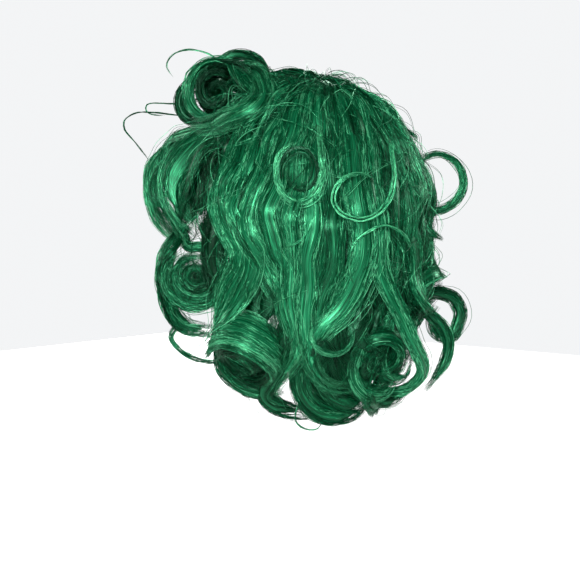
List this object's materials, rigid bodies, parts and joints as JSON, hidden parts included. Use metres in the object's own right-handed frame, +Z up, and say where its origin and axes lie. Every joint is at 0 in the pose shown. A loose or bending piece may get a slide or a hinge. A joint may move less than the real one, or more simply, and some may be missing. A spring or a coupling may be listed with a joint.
{
  "type": "costume wig",
  "caption": "Short curled costume wig: glossy green hair in rolls and curls, sewn to a stretch net cap with ear tabs and hooked nape adjusters.",
  "frame": {"origin": "centre of the cap's head opening, level with the tops of the wearer's ears", "axes": "+Z up to the crown, -Y towards the face, +X towards the wearer's left"},
  "size_m": [0.2438, 0.255, 0.3629],
  "materials": {
    "hair": "glossy synthetic fibre",
    "cap_net": "matte stretch net",
    "edge_band": "matte velvet binding",
    "seam_tape": "matte woven tape",
    "weft_track": "stitched thread",
    "elastic": "ribbed elastic",
    "hook_plastic": "gloss",
    "stay_plastic": "matte"
  },
  "bodies": {
    "wig": {"crown_whorl_hair": "hair", "crown_front_hair": "hair", "left_crown_hair": "hair", "right_crown_hair": "hair", "crown_back_hair": "hair", "left_side_hair": "hair", "right_side_hair": "hair", "left_behind_ear_hair": "hair", "right_behind_ear_hair": "hair", "left_back_hair": "hair", "right_back_hair": "hair", "centre_back_hair": "hair", "front_roll": "hair", "front_roll_loop": "hair", "left_curtain_hair": "hair", "right_curtain_hair": "hair", "left_cheek_curl": "hair", "right_cheek_curl": "hair", "left_barrel_curl": "hair", "right_barrel_curl": "hair", "left_nape_curl": "hair", "centre_nape_curl": "hair", "right_nape_curl": "hair", "right_end_curl": "hair", "right_back_loop": "hair", "back_pin_curl": "hair", "crown_flick": "hair", "crown_patch": "cap_net", "front_panel": "cap_net", "left_side_net": "cap_net", "right_side_net": "cap_net", "left_back_net": "cap_net", "right_back_net": "cap_net", "nape_panel": "cap_net", "forehead_band": "edge_band", "left_ear_band": "edge_band", "right_ear_band": "edge_band", "nape_band": "edge_band", "left_front_rib": "seam_tape", "right_front_rib": "seam_tape", "left_back_rib": "seam_tape", "right_back_rib": "seam_tape", "centre_rib": "seam_tape", "left_loop_tape": "seam_tape", "right_loop_tape": "seam_tape", "weft_row_1": "weft_track", "weft_row_2": "weft_track", "weft_row_3": "weft_track", "weft_row_4": "weft_track", "weft_row_5": "weft_track", "front_weft": "weft_track"},
    "left_tab": {"left_ear_tab": "edge_band", "left_tab_stay": "stay_plastic"},
    "left_strap": {"left_adjuster_strap": "elastic"},
    "left_hook": {"left_adjuster_hook": "hook_plastic"},
    "right_tab": {"right_ear_tab": "edge_band", "right_tab_stay": "stay_plastic"},
    "right_strap": {"right_adjuster_strap": "elastic"},
    "right_hook": {"right_adjuster_hook": "hook_plastic"}
  },
  "joints": [
    {"name": "left_tab_fold", "type": "hinge", "parent": "wig", "child": "left_tab", "pos_m": [0.07325, -0.03563, 0.00705], "axis": [0.288, 0.9576, 0], "range_deg": [0, 45], "stiffness_Nm_per_rad": 0.004},
    {"name": "left_strap_swing", "type": "hinge", "parent": "wig", "child": "left_strap", "pos_m": [0.05919, 0.05517, -0.03707], "axis": [0, 0, 1], "range_deg": [0, 100]},
    {"name": "left_hook_pivot", "type": "hinge", "parent": "left_strap", "child": "left_hook", "pos_m": [0.03446, 0.0828, -0.03707], "axis": [0, 0, 1], "range_deg": [0, 100]},
    {"name": "right_tab_fold", "type": "hinge", "parent": "wig", "child": "right_tab", "pos_m": [-0.07325, -0.03563, 0.00705], "axis": [0.288, -0.9576, 0], "range_deg": [0, 45], "stiffness_Nm_per_rad": 0.004},
    {"name": "right_strap_swing", "type": "hinge", "parent": "wig", "child": "right_strap", "pos_m": [-0.05919, 0.05517, -0.03707], "axis": [0, 0, -1], "range_deg": [0, 100]},
    {"name": "right_hook_pivot", "type": "hinge", "parent": "right_strap", "child": "right_hook", "pos_m": [-0.03446, 0.0828, -0.03707], "axis": [0, 0, -1], "range_deg": [0, 100]}
  ]
}
